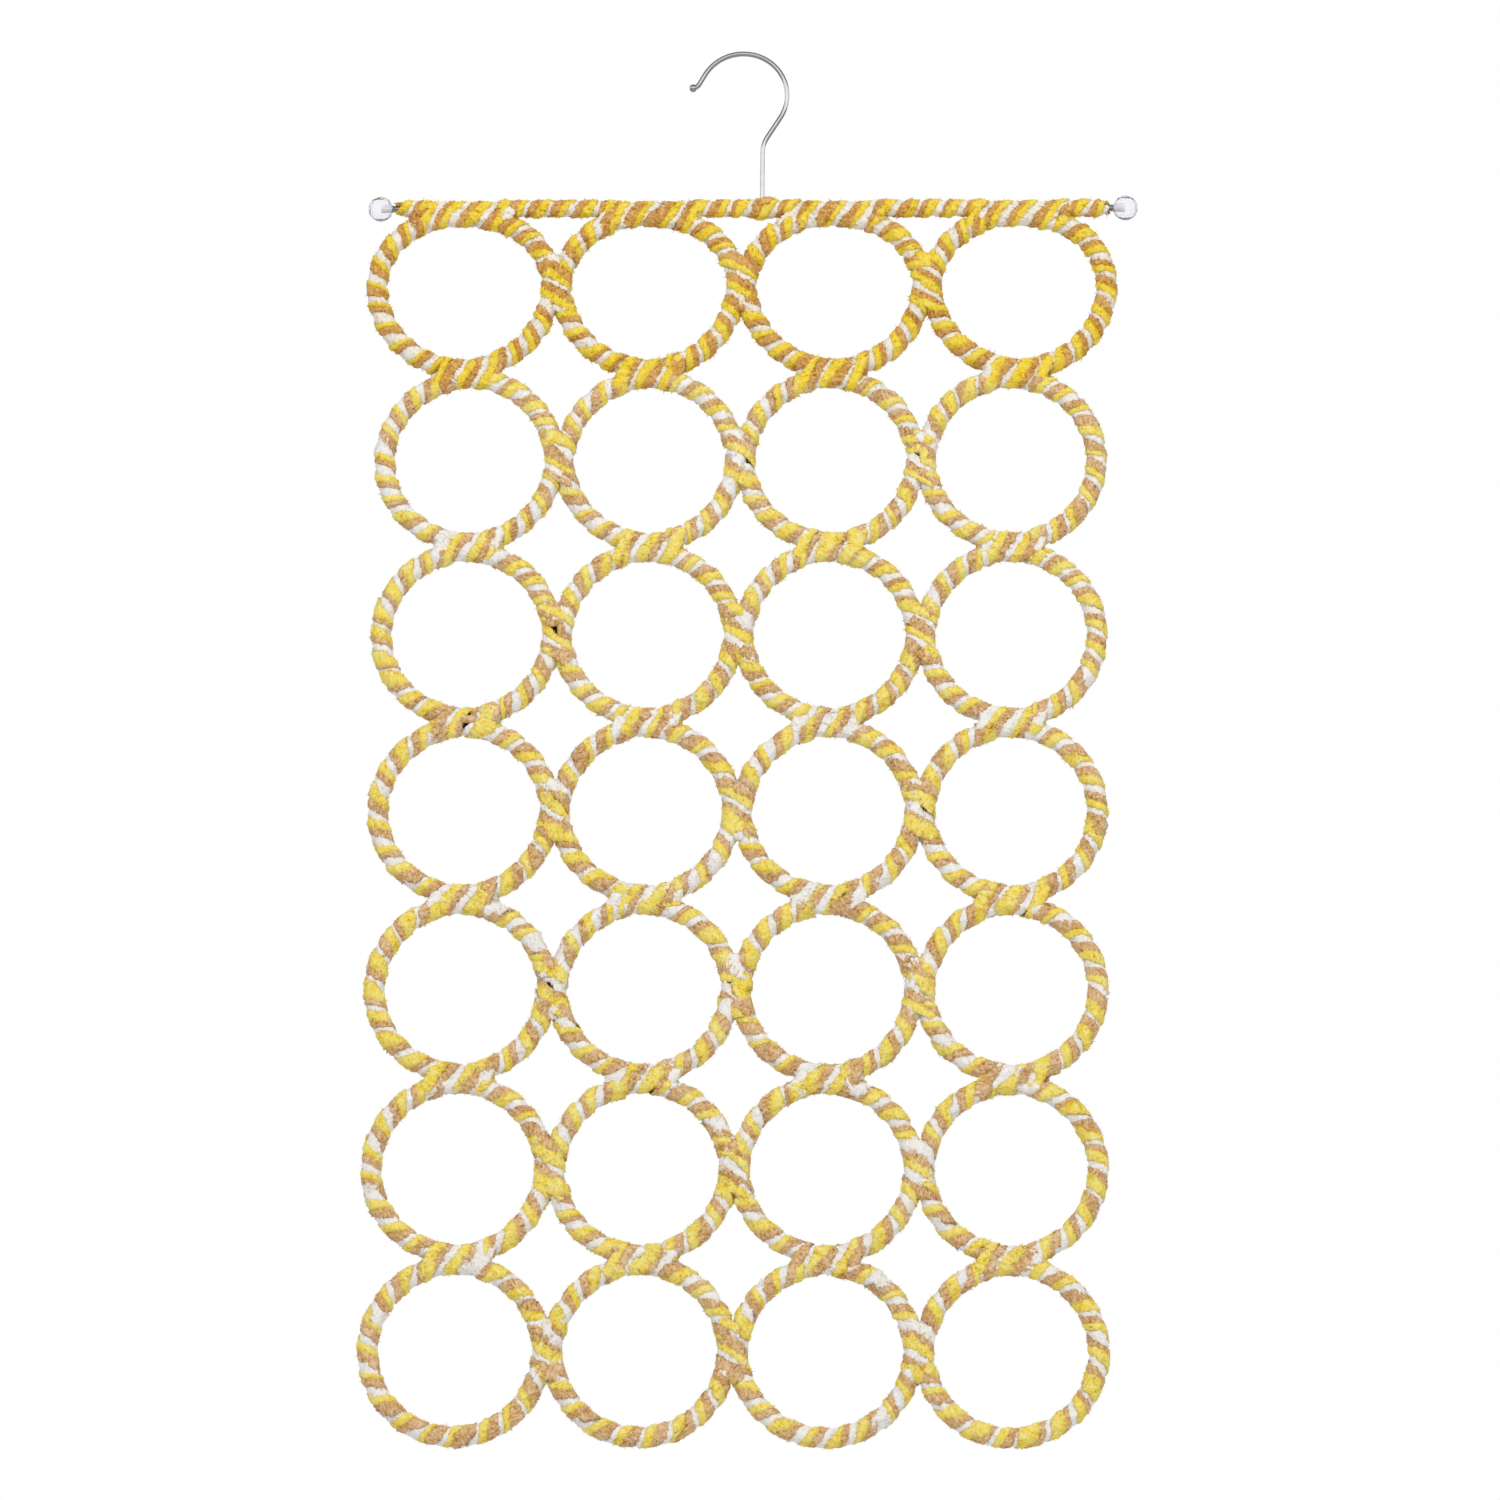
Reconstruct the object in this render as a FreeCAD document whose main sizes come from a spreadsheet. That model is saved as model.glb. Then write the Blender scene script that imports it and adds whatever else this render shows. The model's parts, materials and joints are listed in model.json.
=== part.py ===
# Scarf hanger: a chromed swivel hook, a wound steel bar with clear ball ends, and rings wound
# in three yarns and lashed together in rows, each row hanging from the one above it.
# Millimetres and degrees. The origin is the inside top of the hook, where it sits on a rail.
# X runs along the bar, Y towards the back, Z up.
import FreeCAD, Part
import math
import os

V = FreeCAD.Vector
along = V(1, 0, 0)
back = V(0, 1, 0)
up = V(0, 0, 1)

columns = 4
rows = 7
yarns = ("white", "yellow", "tan")

doc = FreeCAD.newDocument("scarf_hanger")
sheet = doc.addObject("Spreadsheet::Sheet", "Sizes")

driving = {
    # Hook, bent from round wire
    "hook_wire": 2.4,
    "hook_inner_radius": 20.0,
    "hook_end_angle": 150.0,
    "hook_tip_run": 5.5,
    "hook_curl_radius": 4.0,
    "hook_curl_angle": 45.0,
    "hook_neck_angle": 32.0,
    "hook_bend_radius": 15.0,
    "shank_offset": 9.6,
    "tip_ball_diameter": 3.8,
    "tip_ball_socket": 1.4,
    # Swivel in the bar
    "swivel_gap": 0.2,
    "running_gap": 0.3,
    "boss_diameter": 7.0,
    "boss_height": 6.4,
    "washer_diameter": 5.6,
    "washer_thickness": 0.8,
    "head_diameter": 4.6,
    "head_height": 1.4,
    # Bar and its ball ends
    "bar_drop": 77.0,
    "bar_diameter": 3.4,
    "bar_shift": 5.0,
    "ball_spread": 357.0,
    "ball_diameter": 12.0,
    "ball_seat": 5.6,
    "ferrule_length": 2.2,
    "spigot_diameter": 2.0,
    "spigot_depth": 5.0,
    "push_gap": 0.1,
    # Rings
    "core_diameter": 5.0,
    "seat_gap": 0.3,
    "ring_pitch": 86.0,
    "top_ring_pitch": 88.6,
    "top_ring_press": 7.8,
    "top_ring_arch": 58.0,
    "top_ring_arch_half": 20.0,
    # Yarn
    "yarn_diameter": 2.5,
    "wrap_gap": 0.36,
    "strand_gap": 0.5,
    "hinge_gap": 0.6,
    "fold_limit": 45.0,
    "bar_lash_half": 24.0,
}

derived = {
    "ring_radius": "(ring_pitch - core_diameter - seat_gap) / 2",
    "top_ring_radius": "(top_ring_pitch - core_diameter - seat_gap) / 2",
    "top_ring_height": "2 * top_ring_radius - top_ring_press",
    "bar_seat": "(bar_diameter + core_diameter) / 2 + seat_gap",
    "row_seat": "core_diameter + seat_gap",
    "top_ring_top": "bar_drop + bar_seat",
    "second_row_top": "top_ring_top + top_ring_height + row_seat",
    "swivel_hole": "hook_wire + 2 * swivel_gap",
    "shoulder": "ball_spread / 2 - ball_seat - ferrule_length",
    "spigot_length": "ferrule_length + spigot_depth",
    "spigot_hole": "spigot_diameter + 2 * push_gap",
}

for number, (name, value) in enumerate(driving.items(), start=1):
    sheet.set("A%d" % number, name)
    sheet.set("B%d" % number, str(value))
    sheet.setAlias("B%d" % number, name)
for number, (name, formula) in enumerate(derived.items(), start=1):
    sheet.set("D%d" % number, name)
    sheet.set("E%d" % number, "=" + formula)
    sheet.setAlias("E%d" % number, name)
doc.recompute()


def size(name):
    return float(sheet.get(name))


def bind(item, **formulas):
    for name, formula in formulas.items():
        item.setExpression(name.replace("_", "."), formula)


def primitive(kind, name, **formulas):
    item = doc.addObject("Part::" + kind, name)
    bind(item, **formulas)
    return item


def turned(item, axis, angle):
    item.Placement = FreeCAD.Placement(V(0, 0, 0), FreeCAD.Rotation(axis, angle))
    return item


def joined(kind, name, base, tool):
    item = doc.addObject("Part::" + kind, name)
    item.Base = base
    item.Tool = tool
    return item


def shaped(name, shape, place):
    item = doc.addObject("Part::Feature", name)
    item.Shape = shape
    item.Placement = FreeCAD.Placement(place, FreeCAD.Rotation())
    return item


# Paths made of arcs, and round tubes along them

straight_turn = 1e-4
parallel_spread = 1e-9
heading_step = 1e-4
least_points = 8


def arc_from(start, heading, end):
    chord = end - start
    turn = heading.getAngle(chord)
    if turn < straight_turn:
        return Part.LineSegment(start, end).toShape()
    side = heading - chord * (heading.dot(chord) / chord.dot(chord))
    side.normalize()
    middle = (start + end) * 0.5 + side * (chord.Length / 2 * math.tan(turn / 2))
    return Part.Arc(start, middle, end).toShape()


def biarc(start, heading, end, last_heading):
    chord = end - start
    spread = 2 * (1 - heading.dot(last_heading))
    reach = chord.dot(heading + last_heading)
    if spread < parallel_spread:
        run = chord.dot(chord) / (2 * reach)
    else:
        run = (math.sqrt(reach * reach + spread * chord.dot(chord)) - reach) / spread
    first_corner = start + heading * run
    last_corner = end - last_heading * run
    middle = (first_corner + last_corner) * 0.5
    crossing = last_corner - first_corner
    crossing.normalize()
    return [arc_from(start, heading, middle), arc_from(middle, crossing, end)]


def tube(edges, start, heading, diameter):
    section = Part.Wire([Part.Circle(start, heading, diameter / 2).toShape()])
    return Part.Wire(edges).makePipeShell([section], True, False)


least_gaps = []


def strand(stations):
    edges = []
    for (start, heading), (end, last_heading) in zip(stations, stations[1:]):
        edges += biarc(start, heading, end, last_heading)
    least_gaps.append(gap_to_itself(Part.Wire(edges)))
    return tube(edges, stations[0][0], stations[0][1], size("yarn_diameter"))


def gap_to_itself(path):
    spacing = size("yarn_diameter") / 2
    count = max(least_points, int(path.Length / spacing))
    points = path.discretize(Number=count)
    skip = int(math.pi * size("core_diameter") / spacing / 2)
    gaps = [
        (points[j] - points[i]).Length
        for i in range(count)
        for j in range(i + skip, count)
    ]
    return min(gaps, default=math.inf) - size("yarn_diameter")


def heading_on(curve, place):
    heading = curve(place + heading_step) - curve(place - heading_step)
    heading.normalize()
    return heading


def lead_for(round_length, squeeze):
    width = len(yarns) * (size("yarn_diameter") + size("strand_gap"))
    return squeeze * width / math.sqrt(1 - (width / round_length) ** 2)


# The wound outside of a core: strand centre lines lie this far from its centre line


def wrap_radius(core_diameter):
    return core_diameter / 2 + size("wrap_gap") + size("yarn_diameter") / 2


def wound_radius(core_diameter):
    return wrap_radius(core_diameter) + size("yarn_diameter") / 2


def winding(core_line, core_diameter, bend_radius, first, last):
    """Three strands side by side, left-handed, round a core from one place to another."""
    radius = wrap_radius(core_diameter)
    lead = lead_for(2 * math.pi * radius, 1 / (1 - radius / bend_radius))
    halves = int((last - first) / (lead / 2))
    if halves < 1:
        return []
    step = (last - first) / halves
    strands = []
    for number in range(len(yarns)):
        phase = -2 * math.pi * number / len(yarns)

        def curve(place, phase=phase):
            turn = math.pi * (place - first) / step + phase
            middle, outward = core_line(place)
            return middle + outward * (radius * math.cos(turn)) - back * (radius * math.sin(turn))

        places = [first + step * count for count in range(halves + 1)]
        strands.append(strand([(curve(place), heading_on(curve, place)) for place in places]))
    return strands


def lashing(axis, across, half, upper, lower):
    """Three strands looped round two cores at once. upper and lower give, at a place along the
    axis, how far across each end of the loop is centred and the radius it turns at."""
    high, high_radius = upper(0.0)
    low, low_radius = lower(0.0)
    loop = 2 * (high - low) + math.pi * (high_radius + low_radius)
    lead = lead_for(loop, 1.0)
    share = (high - low) / loop
    starts_apart = lead / len(yarns)
    halves = int(2 * (2 * half - (len(yarns) - 1) * starts_apart) / lead)
    lead = 2 * half / (halves / 2 + (len(yarns) - 1) / len(yarns))
    climb = math.atan2(lead, loop)
    strands = []
    for number in range(len(yarns)):
        start = -half + number * lead / len(yarns)
        stations = []
        for count in range(halves):
            side = -1 if count % 2 == 0 else 1
            heading = axis * math.sin(climb) - across * (side * math.cos(climb))
            begin = start + count * lead / 2
            end = begin + share * lead
            ends = (lower, upper) if side < 0 else (upper, lower)
            for place, end_of_loop in zip((begin, end), ends):
                centre, radius = end_of_loop(place)
                point = axis * place + across * centre + back * (side * radius)
                stations.append((point, heading))
        strands.append(strand(stations))
    return strands


# Hook: a long arc, a run to the curled tip, and on the other side a neck to the upright shank


def hook_shape():
    wire = size("hook_wire")
    radius = size("hook_inner_radius") + wire / 2
    centre = V(0, 0, -size("hook_inner_radius"))
    end_angle = math.radians(size("hook_end_angle"))
    neck_angle = math.radians(-size("hook_neck_angle"))

    def on_arc(angle):
        return centre + V(math.cos(angle), 0, math.sin(angle)) * radius

    run_heading = V(-math.sin(end_angle), 0, math.cos(end_angle))
    run_start = on_arc(end_angle)
    run_end = run_start + run_heading * size("hook_tip_run")
    curl = math.radians(size("hook_curl_angle"))
    outward = V(math.cos(end_angle), 0, math.sin(end_angle))
    curl_radius = size("hook_curl_radius")
    curl_end = run_end + run_heading * (curl_radius * math.sin(curl))
    curl_end += outward * (curl_radius * (1 - math.cos(curl)))
    tip_heading = run_heading * math.cos(curl) + outward * math.sin(curl)

    neck_start = on_arc(neck_angle)
    neck_heading = V(math.sin(neck_angle), 0, -math.cos(neck_angle))
    bend_radius = size("hook_bend_radius")
    bend_width = bend_radius * (1 - math.cos(neck_angle))
    neck_run = (neck_start.x - size("shank_offset") - bend_width) / -neck_heading.x
    neck_end = neck_start + neck_heading * neck_run
    bend_end = V(size("shank_offset"), 0, neck_end.z + bend_radius * math.sin(neck_angle))
    boss_bottom = -size("bar_drop") - size("boss_height") / 2
    head_top = boss_bottom - size("running_gap")
    foot = V(size("shank_offset"), 0, head_top - size("head_height") / 2)
    edges = [
        arc_from(curl_end, tip_heading * -1, run_end),
        Part.LineSegment(run_end, run_start).toShape(),
        Part.Arc(run_start, on_arc(math.pi / 2), neck_start).toShape(),
        Part.LineSegment(neck_start, neck_end).toShape(),
        arc_from(neck_end, neck_heading, bend_end),
        Part.LineSegment(bend_end, foot).toShape(),
    ]
    body = tube(edges, curl_end, tip_heading * -1, wire)
    head_base = V(size("shank_offset"), 0, head_top - size("head_height"))
    head = Part.makeCylinder(size("head_diameter") / 2, size("head_height"), head_base)
    return body.fuse(head).removeSplitter(), curl_end, tip_heading


hook_solid, tip_place, tip_heading = hook_shape()
hook = shaped("hook", hook_solid.Solids[0], V(0, 0, 0))

# Ball pressed on the hook's end, with a blind socket that the wire fills
ball_radius = size("tip_ball_diameter") / 2
ball_centre = tip_place + tip_heading * (ball_radius - size("tip_ball_socket"))
tip_ball = Part.makeSphere(ball_radius, ball_centre).cut(hook.Shape)
hook_tip_ball = shaped("hook_tip_ball", tip_ball.Solids[0], V(0, 0, 0))

# Bar: a rod with a boss for the swivel and a spigot at each end
rod = turned(primitive("Cylinder", "rod", Radius="Sizes.bar_diameter / 2", Height="2 * Sizes.shoulder"), back, 90)
bind(rod, Placement_Base_x="Sizes.bar_shift - Sizes.shoulder", Placement_Base_z="-Sizes.bar_drop")
spigot = turned(
    primitive(
        "Cylinder",
        "spigot",
        Radius="Sizes.spigot_diameter / 2",
        Height="2 * (Sizes.shoulder + Sizes.spigot_length)",
    ),
    back,
    90,
)
bind(
    spigot,
    Placement_Base_x="Sizes.bar_shift - Sizes.shoulder - Sizes.spigot_length",
    Placement_Base_z="-Sizes.bar_drop",
)
boss = primitive("Cylinder", "boss", Radius="Sizes.boss_diameter / 2", Height="Sizes.boss_height")
bind(boss, Placement_Base_x="Sizes.shank_offset", Placement_Base_z="-Sizes.bar_drop - Sizes.boss_height / 2")
swivel_hole = primitive(
    "Cylinder",
    "swivel_bore",
    Radius="Sizes.swivel_hole / 2",
    Height="2 * Sizes.boss_height",
)
bind(swivel_hole, Placement_Base_x="Sizes.shank_offset", Placement_Base_z="-Sizes.bar_drop - Sizes.boss_height")
solid_bar = joined("Fuse", "rod_and_boss", joined("Fuse", "rod_and_spigots", rod, spigot), boss)
bar_core = joined("Cut", "bar_core", solid_bar, swivel_hole)

# Washer between the hook's shank and the boss
washer_disc = primitive("Cylinder", "washer_disc", Radius="Sizes.washer_diameter / 2", Height="Sizes.washer_thickness")
washer_hole = primitive("Cylinder", "washer_bore", Radius="Sizes.swivel_hole / 2", Height="Sizes.washer_thickness")
for piece in (washer_disc, washer_hole):
    bind(
        piece,
        Placement_Base_x="Sizes.shank_offset",
        Placement_Base_z="Sizes.boss_height / 2 - Sizes.bar_drop",
    )
swivel_washer = joined("Cut", "swivel_washer", washer_disc, washer_hole)

# Ball ends: a clear ball bored for the spigot, with a seat for the ferrule behind it
finials = []
for side_name, side in (("left", -1), ("right", 1)):
    ball_x = "Sizes.bar_shift + %d * Sizes.ball_spread / 2" % side
    toward_bar = -90 * side
    ball = primitive("Sphere", side_name + "_ball", Radius="Sizes.ball_diameter / 2")
    bind(ball, Placement_Base_x=ball_x, Placement_Base_z="-Sizes.bar_drop")
    bore = turned(
        primitive(
            "Cylinder",
            side_name + "_ball_bore",
            Radius="Sizes.spigot_hole / 2",
            Height="Sizes.spigot_depth + Sizes.push_gap",
        ),
        back,
        90 * side,
    )
    bind(
        bore,
        Placement_Base_x="%s - %d * Sizes.ball_seat" % (ball_x, side),
        Placement_Base_z="-Sizes.bar_drop",
    )
    seat = turned(
        primitive(
            "Cylinder",
            side_name + "_ball_seat",
            Radius="Sizes.bar_diameter / 2 + Sizes.push_gap",
            Height="Sizes.ferrule_length",
        ),
        back,
        toward_bar,
    )
    bind(
        seat,
        Placement_Base_x="%s - %d * Sizes.ball_seat" % (ball_x, side),
        Placement_Base_z="-Sizes.bar_drop",
    )
    seated = joined("Cut", side_name + "_seated_ball", ball, seat)
    finials.append(joined("Cut", side_name + "_finial_ball", seated, bore))

    sleeve = primitive(
        "Cylinder", side_name + "_sleeve", Radius="Sizes.bar_diameter / 2", Height="Sizes.ferrule_length"
    )
    sleeve_bore = primitive(
        "Cylinder", side_name + "_sleeve_bore", Radius="Sizes.spigot_hole / 2", Height="Sizes.ferrule_length"
    )
    for piece in (sleeve, sleeve_bore):
        turned(piece, back, 90 * side)
        bind(
            piece,
            Placement_Base_x="Sizes.bar_shift + %d * Sizes.shoulder" % side,
            Placement_Base_z="-Sizes.bar_drop",
        )
    finials.append(joined("Cut", side_name + "_finial_ferrule", sleeve, sleeve_bore))

# Ring cores. A round ring's places are measured along its centre line from its lowest point,
# towards +X first; so are the top row's rings, which are pressed down where the bar holds them.


def round_ring(radius):
    def core_line(place):
        angle = place / radius - math.pi / 2
        outward = V(math.cos(angle), 0, math.sin(angle))
        return outward * radius, outward

    return core_line


def drop(radius, offset):
    """How far an arc has fallen away at this offset from its highest point."""
    return radius - math.sqrt(radius**2 - offset**2)


def facing(angle):
    return V(math.cos(angle), 0, math.sin(angle))


class TopRing:
    """A round foot, two tighter corners and a shallow arch on top."""

    def __init__(self):
        press = size("top_ring_press")
        self.radius = size("top_ring_radius")
        self.arch = size("top_ring_arch")
        self.arch_half = size("top_ring_arch_half")
        self.top = size("top_ring_height") - self.radius
        self.arch_centre = V(0, 0, self.top - self.arch)
        lean = math.asin(self.arch_half / self.arch)
        spread = self.arch - self.radius
        room = press * math.cos(lean) - spread * (1 - math.cos(lean))
        reach = press * (2 * spread + press) / (2 * room)
        self.corner = self.arch - reach
        self.bend = self.arch_centre + facing(math.pi / 2 - lean) * reach
        self.turn = math.atan2(self.bend.z, self.bend.x)
        self.to_corner = self.radius * (math.pi / 2 + self.turn)
        self.to_arch = self.to_corner + self.corner * (math.pi / 2 - lean - self.turn)
        self.half = self.to_arch + self.arch * lean

    def core_line(self, place):
        if place > self.half:
            middle, outward = self.core_line(2 * self.half - place)
            return V(-middle.x, 0, middle.z), V(-outward.x, 0, outward.z)
        if place < self.to_corner:
            outward = facing(place / self.radius - math.pi / 2)
            return outward * self.radius, outward
        if place < self.to_arch:
            outward = facing(self.turn + (place - self.to_corner) / self.corner)
            return self.bend + outward * self.corner, outward
        outward = facing(math.pi / 2 - (self.half - place) / self.arch)
        return self.arch_centre + outward * self.arch, outward

    def fall(self, offset):
        """How far the centre line lies below its top at this offset from its middle."""
        if offset < self.arch_half:
            return drop(self.arch, offset)
        return self.top - self.bend.z - self.corner + drop(self.corner, offset - self.bend.x)

    def shape(self):
        marks = [0, self.to_corner, self.to_arch, 2 * self.half - self.to_arch, 2 * self.half - self.to_corner]
        ends = marks[1:] + [2 * self.half]
        edges = []
        for start, end in zip(marks, ends):
            points = [self.core_line(place)[0] for place in (start, (start + end) / 2, end)]
            edges.append(Part.Arc(*points).toShape())
        return tube(edges, self.core_line(0)[0], along, size("core_diameter"))


def row_pitch(row):
    return size("top_ring_pitch") if row == 1 else size("ring_pitch")


def row_radius(row):
    return size("top_ring_radius") if row == 1 else size("ring_radius")


def column_x(row, column):
    return row_pitch(row) * (column - (columns + 1) / 2)


def row_height(row):
    """The height of the centres of a row's rings."""
    if row == 1:
        return -size("top_ring_top") - size("top_ring_height") + size("top_ring_radius")
    return -size("second_row_top") - size("ring_radius") - (row - 2) * size("ring_pitch")


top_ring = TopRing()
rings = []
for column in range(1, columns + 1):
    ring_place = V(column_x(1, column), 0, row_height(1))
    rings.append(shaped("ring_row_1_col_%d" % column, top_ring.shape(), ring_place))
for row in range(2, rows + 1):
    for column in range(1, columns + 1):
        ring = primitive(
            "Torus",
            "ring_row_%d_col_%d" % (row, column),
            Radius1="Sizes.ring_radius",
            Radius2="Sizes.core_diameter / 2",
        )
        turned(ring, along, 90)
        bind(
            ring,
            Placement_Base_x="Sizes.ring_pitch * %.1f" % (column - (columns + 1) / 2),
            Placement_Base_z="-Sizes.second_row_top - Sizes.ring_radius - %d * Sizes.ring_pitch" % (row - 2),
        )
        rings.append(ring)

# Where two cores meet, the windings stop far enough apart to clear each other

search_step = 0.1
tube_radius = wound_radius(size("core_diameter"))
yarn_radius = size("yarn_diameter") / 2


def side_clear(row):
    """How far from the meeting line of two rings in a row their wound outsides part."""
    radius = row_radius(row)
    return radius * math.sin(math.acos(row_pitch(row) / 2 / (radius + tube_radius)))


def hinge_clear(row):
    """How far from the middle of the lashing the windings of this row and the next stay clear of
    each other, folded as far as the row below folds."""
    fold = math.cos(math.radians(size("fold_limit")))
    aside = abs(column_x(row, columns) - column_x(row + 1, columns)) / 2
    offset = 0.0
    while True:
        offset += search_step
        above = size("row_seat") + drop(row_radius(row), offset - aside)
        below = drop(row_radius(row + 1), offset + aside)
        apart = math.sqrt(above**2 + below**2 + 2 * above * below * fold)
        lean = math.cos(math.asin((offset + aside) / size("ring_radius")))
        if apart > 2 * tube_radius / lean + size("seat_gap"):
            return offset


def bar_clear():
    """The place on a top ring, up from its foot, where its windings stop short of the bar's."""
    apart = wound_radius(size("bar_diameter")) + tube_radius + size("strand_gap")
    place = top_ring.half
    while size("bar_seat") + top_ring.top - top_ring.core_line(place)[0].z < apart:
        place -= search_step
    return place - yarn_radius - size("strand_gap")


def lash_middle(row, column):
    return (column_x(row, column) + column_x(row + 1, column)) / 2


def along_ring(radius, offset):
    return radius * math.asin(offset / radius)


def winding_spans(row, column):
    """The stretches of a ring's centre line that are wound, from its lowest point round."""
    radius = row_radius(row)
    whole = 2 * top_ring.half if row == 1 else 2 * math.pi * radius
    quarter = radius * math.pi / 2
    middle_x = column_x(row, column)
    zones = []
    if row < rows:
        reach = hinge_clear(row) + yarn_radius
        aside = lash_middle(row, column) - middle_x
        zones.append((-along_ring(radius, reach - aside), along_ring(radius, reach + aside)))
    side_reach = along_ring(radius, side_clear(row)) + yarn_radius + size("strand_gap") / 2
    if column < columns:
        zones.append((quarter - side_reach, quarter + side_reach))
    if row == 1:
        zones.append((bar_clear(), whole - bar_clear()))
    else:
        reach = hinge_clear(row - 1) + yarn_radius + 2 * size("strand_gap")
        aside = lash_middle(row - 1, column) - middle_x
        zones.append((whole / 2 - along_ring(radius, reach + aside), whole / 2 + along_ring(radius, reach - aside)))
    if column > 1:
        zones.append((whole - quarter - side_reach, whole - quarter + side_reach))
    following = zones[1:] + [(zones[0][0] + whole, zones[0][1] + whole)]
    return [(zone[1], later[0]) for zone, later in zip(zones, following)]


def moved(strands, place):
    return [item.translated(place) for item in strands]


def ring_windings(row, column):
    radius = row_radius(row)
    whole = 2 * top_ring.half if row == 1 else 2 * math.pi * radius
    line = top_ring.core_line if row == 1 else round_ring(radius)

    def core_line(place):
        return line(place % whole)

    made = []
    for first, last in winding_spans(row, column):
        strands = winding(core_line, size("core_diameter"), radius, first, last)
        made.append(moved(strands, V(column_x(row, column), 0, 0)))
    return made


def side_lashing(row, column):
    """Loops round this ring and the next in its row."""
    radius = row_radius(row)
    half_seat = size("row_seat") / 2
    half = side_clear(row) - yarn_radius - size("strand_gap")
    turn_radius = wrap_radius(size("core_diameter"))

    def end(place):
        return half_seat + drop(radius, abs(place) + yarn_radius), turn_radius

    def other_end(place):
        centre, turn = end(place)
        return -centre, turn

    middle = (column_x(row, column) + column_x(row, column + 1)) / 2
    return moved(lashing(up, along * -1, half, end, other_end), V(middle, 0, 0))


def row_lashing(row, column):
    """Loops fixed round this ring's foot that the top of the ring below turns in."""
    half = hinge_clear(row) - yarn_radius - size("strand_gap")
    middle = lash_middle(row, column)
    above_aside = abs(column_x(row, column) - middle)
    below_aside = abs(column_x(row + 1, column) - middle)
    sway = math.sin(math.radians(size("fold_limit")))
    turn_radius = wrap_radius(size("core_diameter"))

    def upper(place):
        return size("row_seat") + drop(row_radius(row), abs(place) + above_aside + yarn_radius), turn_radius

    def lower(place):
        fall = drop(row_radius(row + 1), abs(place) + below_aside + yarn_radius)
        return -fall * sway, turn_radius - size("wrap_gap") + size("hinge_gap") + fall * sway

    foot = -row_radius(row) - size("row_seat")
    return moved(lashing(along, up, half, upper, lower), V(middle, 0, foot))


def bar_lashing(column):
    """Loops round the bar and the arch of a top ring."""

    def upper(place):
        return 0.0, wrap_radius(size("bar_diameter"))

    def lower(place):
        fall = top_ring.fall(abs(place) + yarn_radius)
        return -size("bar_seat") - fall, wrap_radius(size("core_diameter"))

    half = size("bar_lash_half") - yarn_radius
    return moved(lashing(along, up, half, upper, lower), V(column_x(1, column), 0, 0))


def bar_windings():
    """Windings on the bar between its ends, the lashings and the boss."""
    blocked = [(column_x(1, column), size("bar_lash_half")) for column in range(1, columns + 1)]
    blocked.append((size("shank_offset"), size("boss_diameter") / 2))
    blocked.sort()
    starts = [size("bar_shift") - size("shoulder")] + [middle + half for middle, half in blocked]
    ends = [middle - half for middle, half in blocked] + [size("bar_shift") + size("shoulder")]
    margin = yarn_radius + size("strand_gap")

    def core_line(place):
        return V(-place, 0, 0), up

    made = []
    for first, last in zip(starts, ends):
        made.append(winding(core_line, size("bar_diameter"), math.inf, margin - last, -first - margin))
    return made


def yarn_nodes(name, bundles, place):
    made = []
    for number, yarn in enumerate(yarns):
        strands = [bundle[number] for bundle in bundles if bundle]
        made.append(shaped("%s_%s_yarn" % (name, yarn), Part.Compound(strands), place))
    return made


bar_bundles = bar_windings() + [bar_lashing(column) for column in range(1, columns + 1)]
yarn_parts = yarn_nodes("bar", bar_bundles, V(0, 0, -size("bar_drop")))
for row in range(1, rows + 1):
    bundles = []
    for column in range(1, columns + 1):
        bundles += ring_windings(row, column)
        if column < columns:
            bundles.append(side_lashing(row, column))
        if row < rows:
            bundles.append(row_lashing(row, column))
    yarn_parts += yarn_nodes("row_%d" % row, bundles, V(0, 0, row_height(row)))

print("least gap of a strand to itself: %.2f mm" % min(least_gaps))

doc.recompute()
parts = [hook, hook_tip_ball, bar_core, swivel_washer] + finials + rings + yarn_parts
for item in doc.Objects:
    if "Invalid" in item.State or "Error" in item.State:
        raise RuntimeError("%s did not build" % item.Label)
for item in parts:
    if item.Shape.isNull() or not item.Shape.isValid():
        raise RuntimeError("%s has no valid shape" % item.Label)

os.makedirs("parts", exist_ok=True)
for item in parts:
    item.Shape.exportStep("parts/%s.step" % item.Label)
print("%d sub-parts written" % len(parts))
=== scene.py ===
import json
import math

import bmesh
import bpy
import numpy as np
from mathutils import Matrix, Vector


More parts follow.
